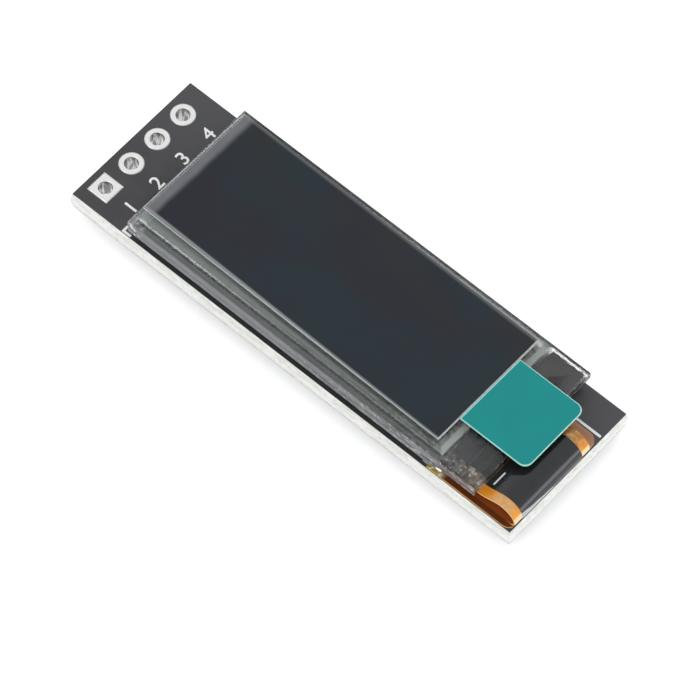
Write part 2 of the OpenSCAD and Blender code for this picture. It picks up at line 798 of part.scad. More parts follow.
board();
solder_mask_top();
solder_mask_bottom();
silkscreen_top();
silkscreen_bottom();
for (i = [1:pins]) pin_pad(i);
mounting_tape();
cap_glass();
drying_sheet();
seal_frame();
emitter_layers();
front_glass();
polarizer();
protective_film();
pull_tab();
driver_chip();
chip_resin();
clear_resin();
bond_film();
flex_cable();
flex_cover();
flex_solder_joints();
regulator_body();
regulator_leads();
for (i = [1:4]) capacitor_large(i);
for (i = [1:6]) capacitor_small(i);
for (i = [1:4]) resistor(i);
back_solder_joints();
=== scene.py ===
"""The looks of a small display module: a dark glass panel on a narrow black circuit board."""

import math

import bmesh
import bpy
from mathutils import Matrix, Vector, noise


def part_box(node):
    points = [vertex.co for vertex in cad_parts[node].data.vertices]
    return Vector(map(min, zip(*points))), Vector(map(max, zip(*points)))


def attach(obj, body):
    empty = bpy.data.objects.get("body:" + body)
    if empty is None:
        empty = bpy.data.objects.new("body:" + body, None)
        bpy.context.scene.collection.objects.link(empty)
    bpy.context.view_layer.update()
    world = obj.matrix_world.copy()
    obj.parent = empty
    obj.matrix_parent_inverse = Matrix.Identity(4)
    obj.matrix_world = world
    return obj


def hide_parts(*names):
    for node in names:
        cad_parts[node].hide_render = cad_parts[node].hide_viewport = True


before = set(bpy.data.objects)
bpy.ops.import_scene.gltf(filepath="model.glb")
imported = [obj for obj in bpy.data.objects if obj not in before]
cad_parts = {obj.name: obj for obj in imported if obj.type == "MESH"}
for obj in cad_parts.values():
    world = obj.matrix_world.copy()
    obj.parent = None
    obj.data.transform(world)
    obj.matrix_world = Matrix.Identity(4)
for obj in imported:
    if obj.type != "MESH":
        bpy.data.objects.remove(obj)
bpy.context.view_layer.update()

MM = 0.001
# Turn of the film on the glass, and how far it reaches past the polarizer
FILM_TURN = math.radians(0.5)
FILM_OVER = 0.2 * MM
# How far a layer reaches into the glass that it is bonded to, so that no air shows between them
BOND = 0.003 * MM
# Radius of the pin holes, thickness of their plating, and how much wider the holes in the board are
HOLE_R = 0.5 * MM
PLATING = 0.05 * MM
DRILL_OVER = 0.06 * MM
# Width of the bead of adhesive at the pin end of the glass
SEAL_W = 0.86 * MM
# Length of the metal ends of the small parts on the back
END_L = 0.35 * MM

# The camera, as the object was seen
AIM = Vector((1.957, -1.855, 1.173)) * MM
AZIMUTH = math.radians(40.34)
ELEVATION = math.radians(60.33)
ROLL = math.radians(1.19)
DISTANCE = 372.6 * MM
LENS = 293.5
SENSOR = 36


# ---------------------------------------------------------------- materials

class Paint:
    """One procedural material. Its patterns are set in millimetres, in the row frame."""

    def __init__(self, name, colour, roughness, **sockets):
        self.material = bpy.data.materials.new(name)
        self.material.use_nodes = True
        self.tree = self.material.node_tree
        self.shader = self.tree.nodes["Principled BSDF"]
        self.where = self.add("TexCoord").outputs["Object"]
        self.bumps = None
        self.set("Base Color", colour)
        self.set("Roughness", roughness)
        for socket, value in sockets.items():
            self.set(socket.replace("_", " "), value)

    def add(self, kind):
        """A new shader node."""
        return self.tree.nodes.new("ShaderNode" + kind)

    def set(self, socket, value):
        """Gives a socket of the surface a value, a colour or a pattern."""
        target = self.shader.inputs[socket]
        if isinstance(value, bpy.types.NodeSocket):
            self.tree.links.new(value, target)
        elif isinstance(value, tuple) and len(value) == 3:
            target.default_value = (*value, 1)
        else:
            target.default_value = value

    def feed(self, node, socket, value):
        """Gives a node's input a value or a pattern."""
        if isinstance(value, bpy.types.NodeSocket):
            self.tree.links.new(value, node.inputs[socket])
        else:
            node.inputs[socket].default_value = value

    def texture(self, kind, size, stretch=(1, 1, 1)):
        """A texture with patches of about size millimetres, longer along an axis by its stretch."""
        scale = self.add("Mapping")
        scale.inputs["Scale"].default_value = [1 / (size * MM * s) for s in stretch]
        self.tree.links.new(self.where, scale.inputs["Vector"])
        node = self.add(kind)
        self.tree.links.new(scale.outputs["Vector"], node.inputs["Vector"])
        node.inputs["Scale"].default_value = 1
        return node

    def noise(self, size, detail=3.0, stretch=(1, 1, 1), distortion=0.0):
        """Cloudy noise with patches of about size millimetres."""
        node = self.texture("TexNoise", size, stretch)
        node.inputs["Detail"].default_value = detail
        node.inputs["Distortion"].default_value = distortion
        return node.outputs["Fac"]

    def wander(self, reach, size, detail, stretch=(1, 1, 1)):
        """A cloudy shift that stays within reach millimetres from end to end."""
        return self.both(self.math("SUBTRACT", self.noise(size, detail, stretch), 0.5), reach * MM)

    def cells(self, size):
        """Distance to the middle of scattered cells of about size millimetres."""
        return self.texture("TexVoronoi", size).outputs["Distance"]

    def turned(self, centre, angle):
        """From here on the patterns are set in a frame with its own centre, turned about Z."""
        node = self.add("Mapping")
        node.vector_type = "TEXTURE"
        node.inputs["Location"].default_value = centre
        node.inputs["Rotation"].default_value = (0, 0, angle)
        self.tree.links.new(self.where, node.inputs["Vector"])
        self.where = node.outputs["Vector"]

    def along(self, axis):
        """The place along X, Y or Z, in metres."""
        parts = self.add("SeparateXYZ")
        self.tree.links.new(self.where, parts.inputs["Vector"])
        return parts.outputs[axis]

    def facing(self, axis):
        """How far the surface faces along an axis, either way."""
        parts = self.add("SeparateXYZ")
        self.tree.links.new(self.add("TexCoord").outputs["Normal"], parts.inputs["Vector"])
        node = self.add("Math")
        node.operation = "ABSOLUTE"
        self.tree.links.new(parts.outputs[axis], node.inputs[0])
        return node.outputs[0]

    def step(self, value, low, high):
        """0 below low and 1 above high, with a soft change between them; swapped limits turn it round."""
        node = self.add("MapRange")
        node.interpolation_type = "SMOOTHSTEP"
        self.feed(node, "Value", value)
        turned = low > high
        node.inputs["From Min"].default_value = min(low, high)
        node.inputs["From Max"].default_value = max(low, high)
        node.inputs["To Min"].default_value = 1 if turned else 0
        node.inputs["To Max"].default_value = 0 if turned else 1
        return node.outputs["Result"]

    def band(self, axis, low, high, soft):
        """1 between two places along an axis, in metres, and 0 outside them."""
        place = self.along(axis)
        return self.both(self.step(place, low - soft, low), self.step(place, high + soft, high))

    def math(self, operation, a, b):
        """One operation on two numbers or patterns."""
        node = self.add("Math")
        node.operation = operation
        self.feed(node, 0, a)
        self.feed(node, 1, b)
        return node.outputs[0]

    def both(self, a, b):
        """One pattern where the other is also 1. It also scales a pattern by a number."""
        return self.math("MULTIPLY", a, b)

    def mix(self, share, first, second):
        """From the first colour to the second as share goes from 0 to 1."""
        node = self.add("Mix")
        node.data_type = "RGBA"
        self.feed(node, 0, share)
        for socket, value in ((6, first), (7, second)):
            self.feed(node, socket, (*value, 1) if isinstance(value, tuple) else value)
        return node.outputs[2]

    def range(self, value, low, high):
        """Maps 0..1 to low..high."""
        node = self.add("MapRange")
        self.feed(node, "Value", value)
        node.inputs["To Min"].default_value = low
        node.inputs["To Max"].default_value = high
        return node.outputs["Result"]

    def bump(self, height, depth):
        """Raises the surface by up to depth millimetres."""
        node = self.add("Bump")
        node.inputs["Strength"].default_value = 1.0
        node.inputs["Distance"].default_value = depth * MM
        self.feed(node, "Height", height)
        if self.bumps:
            self.tree.links.new(self.bumps, node.inputs["Normal"])
        self.bumps = node.outputs["Normal"]
        self.set("Normal", self.bumps)


def fibreglass(box):
    """Pale glass fibre: brightest in the middle of the broken edge, with short grey fibres."""
    low, high = box
    p = Paint("fibreglass", (0.9, 0.9, 0.86), 0.6)
    z = p.math("ADD", p.along("Z"), p.wander(0.35, 0.5, 4))
    middle = p.both(p.step(z, low.z + 0.25 * MM, low.z + 0.45 * MM),
                    p.step(z, high.z - 0.55 * MM, high.z - 0.75 * MM))
    cloud = p.step(p.noise(0.5, 5, (2.2, 2.2, 0.6)), 0.38, 0.62)
    fibre = p.step(p.noise(0.15, 4, (2.6, 2.6, 0.6)), 0.54, 0.68)
    outer = p.mix(cloud, (0.95, 0.95, 0.91), (0.80, 0.81, 0.75))
    base = p.mix(p.both(middle, p.range(cloud, 1.0, 0.55)), outer, (0.99, 0.99, 0.96))
    p.set("Base Color", p.mix(fibre, base, (0.62, 0.63, 0.58)))
    p.bump(p.noise(0.09, 4, (3, 3, 0.6)), 0.04)
    return p.material


def solder_mask():
    """Dark solder mask, with a painted reflection of the sky that makes it a little paler toward the far side
    and the cable's end.
    """
    p = Paint("solder_mask", (0.045, 0.044, 0.047), 0.3)
    cloud = p.step(p.noise(1.6, 4), 0.35, 0.7)
    # painted reflection of the sky, paler toward the far side and the cable's end
    sky_reflection = p.math("MAXIMUM", p.step(p.along("Y"), -2 * MM, 4 * MM), p.step(p.along("X"), 10 * MM, 15 * MM))
    base = p.mix(sky_reflection, (0.042, 0.041, 0.045), (0.060, 0.060, 0.064))
    p.set("Base Color", p.mix(p.both(cloud, 0.5), base, (0.064, 0.063, 0.068)))
    p.set("Roughness", p.range(p.noise(0.35, 4), 0.22, 0.42))
    p.bump(p.noise(0.14, 3), 0.002)
    return p.material


def white_ink():
    """White printed ink, a little worn."""
    p = Paint("white_ink", (0.82, 0.82, 0.81), 0.55)
    worn = p.step(p.noise(0.07, 3), 0.55, 0.8)
    p.set("Base Color", p.mix(worn, (0.96, 0.96, 0.95), (0.72, 0.72, 0.73)))
    p.bump(p.noise(0.05, 2), 0.004)
    return p.material


def tin(name="tinned_pad"):
    """Bright solder, cloudy and uneven."""
    p = Paint(name, (0.9, 0.9, 0.88), 0.25, Metallic=1.0)
    cloud = p.noise(0.25, 4)
    p.set("Base Color", p.mix(cloud, (0.97, 0.97, 0.96), (0.86, 0.86, 0.85)))
    p.set("Roughness", p.range(cloud, 0.16, 0.38))
    p.bump(p.noise(0.18, 3), 0.012)
    return p.material


def barrel():
    """The plated wall of a pin hole, with upright streaks of painted reflection and shade."""
    p = Paint("barrel", (0.6, 0.6, 0.59), 0.2, Metallic=1.0)
    # painted reflection and shade: dark and bright upright streaks on the wall
    streak = p.step(p.noise(0.2, 3, (1, 1, 6)), 0.4, 0.6)
    p.set("Base Color", p.mix(streak, (0.30, 0.30, 0.29), (0.85, 0.85, 0.84)))
    p.set("Roughness", p.range(streak, 0.35, 0.15))
    p.bump(p.noise(0.12, 3, (1, 1, 4)), 0.02)
    return p.material


def foam():
    """Grey foam tape with dark pores."""
    p = Paint("foam_tape", (0.6, 0.6, 0.58), 0.85)
    pores = p.step(p.cells(0.12), 0.1, 0.45)
    p.set("Base Color", p.mix(pores, (0.36, 0.36, 0.35), (0.60, 0.60, 0.58)))
    p.bump(pores, 0.03)
    return p.material


def glass(box):
    """Clear glass. Its long cut sides are matt grey, patchy toward the cable, and rust brown on the ledge.

    Bright painted glints show on them at both ends.
    """
    low, high = box
    p = Paint("glass", (0.95, 0.98, 0.965), 0.0, Transmission_Weight=1.0, IOR=1.51)
    clear = p.mix(p.noise(2.5, 2), (0.955, 0.985, 0.97), (0.93, 0.965, 0.95))
    side = p.step(p.facing("Y"), 0.4, 0.6)
    x = p.along("X")
    away = p.step(x, low.x + 8 * MM, high.x - 3 * MM)
    grey_and_sheen = p.mix(p.noise(0.4, 5, (2, 1, 1)), (0.13, 0.14, 0.15), (0.26, 0.265, 0.27))
    patch = p.both(p.step(p.noise(1.5, 4, (3, 1, 0.5)), 0.44, 0.58), away)
    grey_and_sheen = p.mix(p.both(patch, 0.85), grey_and_sheen, (0.035, 0.04, 0.038))
    # painted glints on the cut sides, near the pin end and toward the cable
    ends = p.math("MAXIMUM", p.step(x, low.x + 1.4 * MM, low.x + 0.6 * MM), p.both(away, 0.45))
    painted_glints = p.both(p.step(p.noise(0.2, 4, (1.6, 1, 1)), 0.56, 0.62), ends)
    grey_and_sheen = p.mix(painted_glints, grey_and_sheen, (0.90, 0.91, 0.90))
    glued = p.step(x, high.x - 3.4 * MM, high.x - 2.9 * MM)
    foot = p.step(p.along("Z"), high.z - 0.28 * MM, high.z - 0.42 * MM)
    rust = p.mix(foot, crumpled(p, (0.05, 0.04, 0.035), (0.22, 0.18, 0.15)), (0.075, 0.018, 0.008))
    grey_and_sheen = p.mix(glued, grey_and_sheen, rust)
    p.set("Base Color", p.mix(side, clear, grey_and_sheen))
    p.set("Transmission Weight", p.range(side, 1.0, 0.25))
    p.set("Roughness", p.range(side, 0.0, 0.35))
    return p.material


def drying_sheet():
    """The pale grey sheet behind the picture area."""
    p = Paint("drying_sheet", (0.5, 0.52, 0.5), 0.8)
    p.set("Base Color", p.mix(p.noise(0.3, 4), (0.55, 0.57, 0.55), (0.42, 0.44, 0.42)))
    p.bump(p.noise(0.1, 3), 0.01)
    return p.material


def margin_shade(p):
    """The light grey-green of the clear margin round the picture area, mottled toward the cable."""
    even = p.mix(p.noise(0.8, 4, (3, 1, 1)), (0.52, 0.58, 0.55), (0.64, 0.70, 0.66))
    mottled = p.mix(p.step(p.noise(0.28, 4, (1.5, 1, 1)), 0.35, 0.65), (0.27, 0.27, 0.25), (0.66, 0.69, 0.64))
    return p.mix(p.step(p.along("X"), 2 * MM, 13 * MM), even, mottled)


def seal(box):
    """Cured adhesive between the sheets of glass: a grey bead, then a dark line and a bright inner line,
    which is a painted reflection.

    Its leg at the ledge is pale, and so is its outer edge at the pin end. Its outer edge on the far side is a
    painted reflection of the bright surroundings, grey at the pin end and pale toward the cable, and painted
    glints lie near the pin end's near corner and along the near outer edge.
    """
    low, high = box
    p = Paint("seal", (0.25, 0.26, 0.26), 0.35)
    x = p.along("X")
    y = p.math("ADD", p.along("Y"), p.wander(0.05, 1.2, 3, (3, 1, 1)))
    away = p.step(x, low.x + 3 * MM, low.x + 14 * MM)
    bead = p.mix(p.noise(0.4, 5, (2, 1, 1)), (0.20, 0.215, 0.22), (0.32, 0.325, 0.32))
    patches = p.both(p.step(p.noise(1.6, 3, (3, 1, 1)), 0.45, 0.6), p.step(x, 0.0, 2 * MM))
    patches = p.both(patches, p.step(y, low.y + 0.4 * MM, low.y + 0.2 * MM))
    bead = p.mix(patches, bead, (0.07, 0.075, 0.07))
    dark_y, line_y, inner_y = low.y + 0.50 * MM, low.y + 0.70 * MM, low.y + 0.84 * MM
    soft = 0.03 * MM
    dark = p.both(p.step(y, dark_y - soft, dark_y + soft), p.step(y, line_y + soft, line_y - soft))
    line = p.both(p.step(y, line_y - soft, line_y + soft), p.step(y, inner_y + soft, inner_y - soft))
    shade = p.mix(dark, bead, (0.04, 0.05, 0.05))
    shade = p.mix(p.step(y, line_y - soft, line_y + soft), shade, margin_shade(p))
    # the bright inner line: a painted reflection, near white at the pin end
    shade = p.mix(line, shade, p.mix(away, (0.97, 0.99, 0.99), (0.62, 0.64, 0.63)))
    # painted reflection of the bright surroundings along the far outer edge, paler toward the cable
    far = p.step(y, high.y - 0.75 * MM, high.y - 0.3 * MM)
    shade = p.mix(far, shade, p.mix(away, (0.40, 0.40, 0.41), (0.97, 0.98, 0.97)))
    pin_end = p.step(x, low.x + 0.30 * MM, low.x + 0.18 * MM)
    shade = p.mix(pin_end, shade, p.mix(p.noise(0.25, 3), (0.35, 0.36, 0.38), (0.95, 0.95, 0.97)))
    # painted glints near the near corner at the pin end, and along the near outer edge further on
    corner = p.both(p.step(x, low.x + 1.3 * MM, low.x + 0.7 * MM),
                    p.step(y, low.y + 1.1 * MM, low.y + 0.7 * MM))
    spark = p.both(p.step(p.noise(0.28, 4), 0.54, 0.60), corner)
    far_along = p.both(p.step(x, 6 * MM, 9 * MM), p.step(y, low.y + 0.5 * MM, low.y + 0.3 * MM))
    spark = p.math("MAXIMUM", spark, p.both(p.step(p.noise(0.22, 3, (2, 1, 1)), 0.61, 0.66), far_along))
    shade = p.mix(spark, shade, (0.98, 0.98, 0.97))
    slant = p.math("ADD", y, p.both(p.math("SUBTRACT", x, high.x), 1.1))
    leg = p.both(p.step(x, high.x - 0.50 * MM, high.x - 0.40 * MM),
                 p.step(slant, low.y + 0.55 * MM, low.y + 0.65 * MM))
    pale = p.mix(p.noise(0.35, 4), (0.74, 0.80, 0.72), (0.95, 0.98, 0.93))
    p.set("Base Color", p.mix(leg, shade, pale))
    shiny = p.math("MAXIMUM", p.both(line, p.range(away, 1.0, 0.0)), p.both(far, away))
    p.set("Metallic", p.both(shiny, p.range(leg, 1.0, 0.0)))
    p.bump(p.noise(0.2, 3), 0.01)
    return p.material


def emitter(film):
    """The layers behind the margin, darker just outside the film's near edge."""
    p = Paint("emitter", (0.58, 0.64, 0.6), 0.15)
    base = margin_shade(p)
    p.turned(film.centre, film.turn)
    y = p.along("Y")
    edge_y = 0.08 * MM - film.half.y
    shadow = p.both(p.step(y, edge_y - 0.14 * MM, edge_y - 0.06 * MM),
                    p.step(y, edge_y + 0.14 * MM, edge_y + 0.06 * MM))
    strength = p.range(p.step(p.along("X"), -0.7 * film.half.x, 0.0), 0.1, 0.6)
    p.set("Base Color", p.mix(p.both(shadow, strength), base, (0.12, 0.13, 0.13)))
    p.bump(p.noise(0.4, 2), 0.002)
    return p.material


def polarizer():
    """The dark sheet over the picture area, without a gloss of its own."""
    p = Paint("polarizer", (0.002, 0.008, 0.016), 0.5, Specular_IOR_Level=0.0)
    p.set("Base Color", p.mix(p.noise(5, 2), (0.004, 0.006, 0.014), (0.0, 0.011, 0.018)))
    return p.material


def film_face(film, seal_end):
    """The film on the picture area. It is dark where the polarizer shows, and clear along its own border.

    Its near and pin-end edges carry a painted highlight, and a milky line runs along its end at the tab.
    """
    p = Paint("film", (0.97, 0.98, 0.98), 0.05, IOR=1.49)
    p.turned(film.centre, film.turn)
    x, y = p.along("X"), p.along("Y")
    wander = p.wander(0.15, 1.5, 3)
    border = p.range(p.step(x, -film.half.x, film.half.x), FILM_OVER, 0.07 * MM)
    inside = p.math("SUBTRACT", p.math("ADD", y, film.half.y), border)
    inside_x = p.math("ADD", x, film.half.x - FILM_OVER)
    dark = p.both(p.step(inside, -0.10 * MM, -0.02 * MM), p.step(inside_x, -0.04 * MM, 0.0))
    # the dark picture area: violet, teal and neutral clouds
    cloud = p.step(p.noise(6, 2, (1.3, 1, 1)), 0.38, 0.62)
    shade = p.mix(cloud, (0.0045, 0.0055, 0.0145), (0.0005, 0.0115, 0.0185))
    neutral = p.both(p.step(y, 0.0, film.half.y), p.step(p.noise(3, 2, (2, 1, 1)), 0.4, 0.6))
    shade = p.mix(neutral, shade, (0.0085, 0.0085, 0.0120))
    strip_end = seal_end - film.centre.x
    head = p.step(p.math("ADD", x, wander), strip_end + 0.4 * MM, strip_end - 0.15 * MM)
    strip = p.mix(p.noise(0.3, 4, (1, 8, 1)), (0.10, 0.105, 0.118), (0.185, 0.19, 0.21))
    shade = p.mix(head, shade, strip)
    near = p.step(inside, 0.16 * MM, -0.04 * MM)
    far = p.both(p.step(y, film.half.y - 0.30 * MM, film.half.y), 0.45)
    shade = p.mix(p.math("MAXIMUM", near, far), shade, (0.24, 0.255, 0.25))
    # the milky line, and the painted highlight on the near and pin-end edges
    end_x = film.half.x - 0.12 * MM
    milky = p.step(p.math("ADD", x, p.both(wander, 0.4)), end_x - 0.03 * MM, end_x + 0.02 * MM)
    milky = p.both(milky, p.range(p.noise(0.15, 4), 0.3, 0.95))
    lit = p.math("MAXIMUM", p.step(y, 0.06 * MM - film.half.y, 0.03 * MM - film.half.y),
                 p.step(x, 0.06 * MM - film.half.x, 0.03 * MM - film.half.x))
    lit = p.both(lit, 0.7)
    bright = p.math("MAXIMUM", milky, lit)
    p.set("Base Color", p.mix(bright, p.mix(dark, (0.97, 0.98, 0.98), shade), (0.66, 0.68, 0.68)))
    p.set("Transmission Weight", p.range(p.math("MAXIMUM", bright, dark), 1.0, 0.0))
    p.set("Specular IOR Level", p.range(dark, 0.5, 0.45))
    return p.material


def tab_face():
    """The even blue-green face of the pull tab."""
    p = Paint("pull_tab", (0.004, 0.27, 0.255), 0.38, Specular_IOR_Level=0.25)
    cloud = p.noise(2.2, 3)
    p.set("Base Color", p.mix(cloud, (0.003, 0.245, 0.238), (0.006, 0.285, 0.268)))
    p.bump(p.noise(0.08, 2), 0.001)
    return p.material


def tab_rim():
    """The pale cut edge of the pull tab, a painted highlight."""
    p = Paint("tab_rim", (0.35, 0.75, 0.68), 0.35)
    p.set("Base Color", p.mix(p.noise(0.4, 3), (0.22, 0.62, 0.55), (0.55, 0.88, 0.82)))
    return p.material


def silicon():
    """The dark polished chip under the resin."""
    p = Paint("silicon", (0.06, 0.06, 0.07), 0.1)
    p.set("Base Color", p.mix(p.noise(0.5, 3), (0.05, 0.05, 0.06), (0.08, 0.08, 0.09)))
    return p.material


def black_resin():
    """Cloudy black resin, a little purple in the middle, with reddish spots."""
    p = Paint("black_resin", (0.05, 0.05, 0.055), 0.25)
    cloud = p.step(p.noise(1.4, 4, (1, 1.6, 1)), 0.3, 0.7)
    base = p.mix(cloud, (0.035, 0.035, 0.045), (0.062, 0.066, 0.072))
    purple = p.both(p.step(p.along("Y"), -1 * MM, 3.5 * MM), 0.8)
    base = p.mix(purple, base, p.mix(cloud, (0.055, 0.046, 0.052), (0.082, 0.074, 0.080)))
    red = p.both(p.step(p.noise(0.45, 4), 0.58, 0.66), 0.6)
    p.set("Base Color", p.mix(red, base, (0.085, 0.060, 0.066)))
    p.set("Roughness", p.range(cloud, 0.18, 0.35))
    p.bump(p.noise(0.5, 3), 0.01)
    return p.material


def crumpled(p, first, second):
    """Crumpled clear resin, with painted glints on its small folds."""
    crumple = p.noise(0.2, 5, (1.4, 1, 1), 1.2)
    base = p.mix(p.step(p.noise(0.35, 5), 0.35, 0.65), first, second)
    p.bump(crumple, 0.05)
    # painted glints where the crumples stand highest
    return p.mix(p.step(crumple, 0.585, 0.63), base, (0.93, 0.88, 0.84))


def glue_shade(p, box):
    """Clear resin on the near side of the ledge: grey first, and brownish where the cable is under it."""
    low = box[0]
    x = p.math("ADD", p.along("X"), p.both(p.noise(0.7, 3), 1.6 * MM))
    brown = p.step(x, low.x + 1.6 * MM, low.x + 3.0 * MM)
    grey = crumpled(p, (0.055, 0.06, 0.06), (0.23, 0.225, 0.21))
    warm = crumpled(p, (0.08, 0.055, 0.04), (0.44, 0.34, 0.26))
    return p.mix(brown, grey, warm)


def clear_resin(box):
    """The clear resin beside the black one."""
    p = Paint("clear_resin", (0.2, 0.2, 0.19), 0.12)
    p.set("Base Color", glue_shade(p, box))
    return p.material


def bond_film(glue_box, near_edge, end_x):
    """Dark film over the cable's bonded end, with painted shade just before the end of the glass, and clear
    resin on it on the near side.
    """
    p = Paint("bond_film", (0.03, 0.03, 0.03), 0.3)
    black = p.mix(p.noise(0.5, 3), (0.030, 0.031, 0.034), (0.062, 0.062, 0.066))
    # painted shade: near black in the last half millimetre or so before the end of the glass
    black = p.mix(p.step(p.along("X"), end_x - 0.75 * MM, end_x - 0.45 * MM), black, (0.008, 0.008, 0.008))
    bare = p.step(p.along("Y"), near_edge + 0.1 * MM, near_edge - 0.05 * MM)
    p.set("Base Color", p.mix(bare, black, glue_shade(p, glue_box)))
    return p.material


def polyimide(name, light, dark, roughness):
    """Amber film, with a faint trace of what runs inside it."""
    p = Paint(name, light, roughness, Specular_IOR_Level=0.3)
    streak = p.noise(0.9, 4, (6, 1, 6))
    p.set("Base Color", p.mix(p.step(streak, 0.3, 0.75), light, dark))
    p.bump(p.noise(0.25, 3, (3, 1, 3)), 0.003)
    return p.material


def amber_face(crest_z):
    """The cable's outer face: browner at the top, golden below, with a painted highlight, a pale band below
    the crest.
    """
    p = Paint("flex", (0.86, 0.32, 0.03), 0.3, Specular_IOR_Level=0.3)
    z, y = p.along("Z"), p.along("Y")
    streak = p.step(p.noise(0.9, 4, (6, 1, 6)), 0.3, 0.75)
    gold = p.mix(streak, (0.88, 0.33, 0.025), (0.66, 0.21, 0.006))
    far = p.step(y, -1 * MM, 1 * MM)
    crest = p.mix(far, (0.74, 0.38, 0.13), (0.42, 0.19, 0.045))
    crest = p.mix(p.step(p.noise(0.35, 4), 0.45, 0.62), crest, (0.60, 0.34, 0.15))
    shade = p.mix(p.step(z, crest_z - 0.35 * MM, crest_z - 0.12 * MM), gold, crest)
    # painted highlight: a pale band below the crest
    pale = p.both(p.step(z, crest_z - 0.52 * MM, crest_z - 0.68 * MM),
                  p.step(z, crest_z - 1.7 * MM, crest_z - 1.4 * MM))
    p.set("Base Color", p.mix(pale, shade, (0.97, 0.72, 0.42)))
    p.bump(p.noise(0.25, 3, (3, 1, 3)), 0.003)
    return p.material


def cover_film(box):
    """Glossy black film. The near part of its bend carries a pale painted reflection of the floor, and near
    its start is a white line, a painted glint.
    """
    low, high = box
    p = Paint("flex_cover", (0.014, 0.015, 0.017), 0.1)
    black = p.mix(p.noise(0.8, 4), (0.010, 0.011, 0.013), (0.022, 0.023, 0.025))
    y = p.along("Y")
    # how far the point is below the upper limit of the painted floor reflection, which falls along the bend
    # and then drops
    slope = p.both(p.math("SUBTRACT", y, low.y), 0.12)
    fall = p.math("ADD", slope, p.both(p.step(y, low.y + 2.9 * MM, low.y + 3.9 * MM), 1 * MM))
    under = p.math("ADD", p.math("ADD", p.along("Z"), fall), p.wander(0.12, 0.5, 3))
    # pale painted reflection of the floor on the lower outer part of the bend
    pale = p.both(p.step(under, high.z - 0.62 * MM, high.z - 0.70 * MM),
                  p.step(p.along("Z"), high.z - 1.6 * MM, high.z - 1.45 * MM))
    grey_and_sheen = p.mix(p.noise(0.2, 4, (1, 2.5, 0.6)), (0.30, 0.32, 0.33), (0.68, 0.70, 0.69))
    # a white painted glint just past the end of the glass
    line = p.both(p.band("X", low.x + 0.36 * MM, low.x + 0.45 * MM, 0.03 * MM),
                  p.band("Y", low.y + 0.3 * MM, low.y + 1.4 * MM, 0.05 * MM))
    p.set("Base Color", p.mix(line, p.mix(pale, black, grey_and_sheen), (0.85, 0.85, 0.88)))
    p.set("Roughness", p.range(p.noise(0.6, 4), 0.07, 0.2))
    p.bump(p.noise(1.1, 3), 0.012)
    return p.material


def near_tail(start_x):
    """The dark end of the cable's tail, with a yellow smear of flux where it begins, dotted with painted
    white glints.
    """
    p = Paint("flex_near_tail", (0.22, 0.055, 0.012), 0.35, Specular_IOR_Level=0.3)
    rust = p.mix(p.step(p.noise(0.9, 4, (6, 1, 6)), 0.3, 0.75), (0.24, 0.058, 0.012), (0.12, 0.03, 0.01))
    x = p.math("ADD", p.along("X"), p.both(p.noise(0.5, 3), 0.9 * MM))
    smear = p.step(x, start_x + 2.0 * MM, start_x + 1.5 * MM)
    # painted white glints in the yellow flux
    spot = p.step(p.noise(0.25, 4), 0.50, 0.58)
    flux_and_glints = p.mix(spot, (0.45, 0.34, 0.03), (0.92, 0.84, 0.78))
    p.set("Base Color", p.mix(smear, rust, flux_and_glints))
    return p.material


def moulding():
    """Matt black moulded plastic."""
    p = Paint("moulded_black", (0.03, 0.03, 0.032), 0.6)
    p.set("Base Color", p.mix(p.noise(0.2, 4), (0.022, 0.022, 0.024), (0.045, 0.045, 0.047)))
    p.bump(p.noise(0.06, 3), 0.006)
    return p.material


def ceramic(name, first, second):
    """The fine-grained body of a capacitor or a resistor."""
    p = Paint(name, first, 0.45)
    p.set("Base Color", p.mix(p.noise(0.25, 4), first, second))
    p.bump(p.noise(0.08, 3), 0.004)
    return p.material


# ---------------------------------------------------------------- pieces

def cad(node, material):
    """Gives a CAD node its material."""
    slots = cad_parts[node].data.materials
    slots.clear()
    slots.append(material)


def size_of(node):
    """A CAD node's low corner, high corner and size."""
    low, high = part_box(node)
    return low, high, high - low


def piece(name, nodes, verts, faces, materials, which=None, smooth_below=40):
    """A new mesh that stands for CAD nodes."""
    mesh = bpy.data.meshes.new(name)
    mesh.from_pydata(verts, [], faces)
    return finished(name, nodes, mesh, materials, which, smooth_below)


def finished(name, nodes, mesh, materials, which=None, smooth_below=40):
    """Puts a mesh in the scene as a piece, shaded smooth below an angle in degrees."""
    for m in materials:
        mesh.materials.append(m)
    if which:
        for polygon, index in zip(mesh.polygons, which):
            polygon.material_index = index
    work = bmesh.new()
    work.from_mesh(mesh)
    bmesh.ops.remove_doubles(work, verts=work.verts, dist=1e-7)
    bmesh.ops.recalc_face_normals(work, faces=work.faces)
    work.to_mesh(mesh)
    work.free()
    mesh.polygons.foreach_set("use_smooth", [True] * len(mesh.polygons))
    mesh.set_sharp_from_angle(angle=math.radians(smooth_below))
    made = bpy.data.objects.new(name, mesh)
    bpy.context.scene.collection.objects.link(made)
    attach(made, "root")
    if nodes:
        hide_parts(*nodes)
    return made


def bonded(name, node, material, up=0.0, down=0.0):
    """A copy of a layer that reaches up or down into the glass it is bonded to."""
    low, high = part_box(node)
    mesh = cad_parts[node].data.copy()
    mesh.materials.clear()
    middle = (low.z + high.z) / 2
    for v in mesh.vertices:
        v.co.z += up if v.co.z > middle else -down
    return finished(name, [node], mesh, [material], smooth_below=30)


def grid_faces(columns, rows, closed_columns=False, closed_rows=False):
    """Faces of a grid of columns of points."""
    faces = []
    for c in range(columns if closed_columns else columns - 1):
        n = (c + 1) % columns
        for r in range(rows if closed_rows else rows - 1):
            m = (r + 1) % rows
            faces.append((c * rows + r, n * rows + r, n * rows + m, c * rows + m))
    return faces


# ---------------------------------------------------------------- board

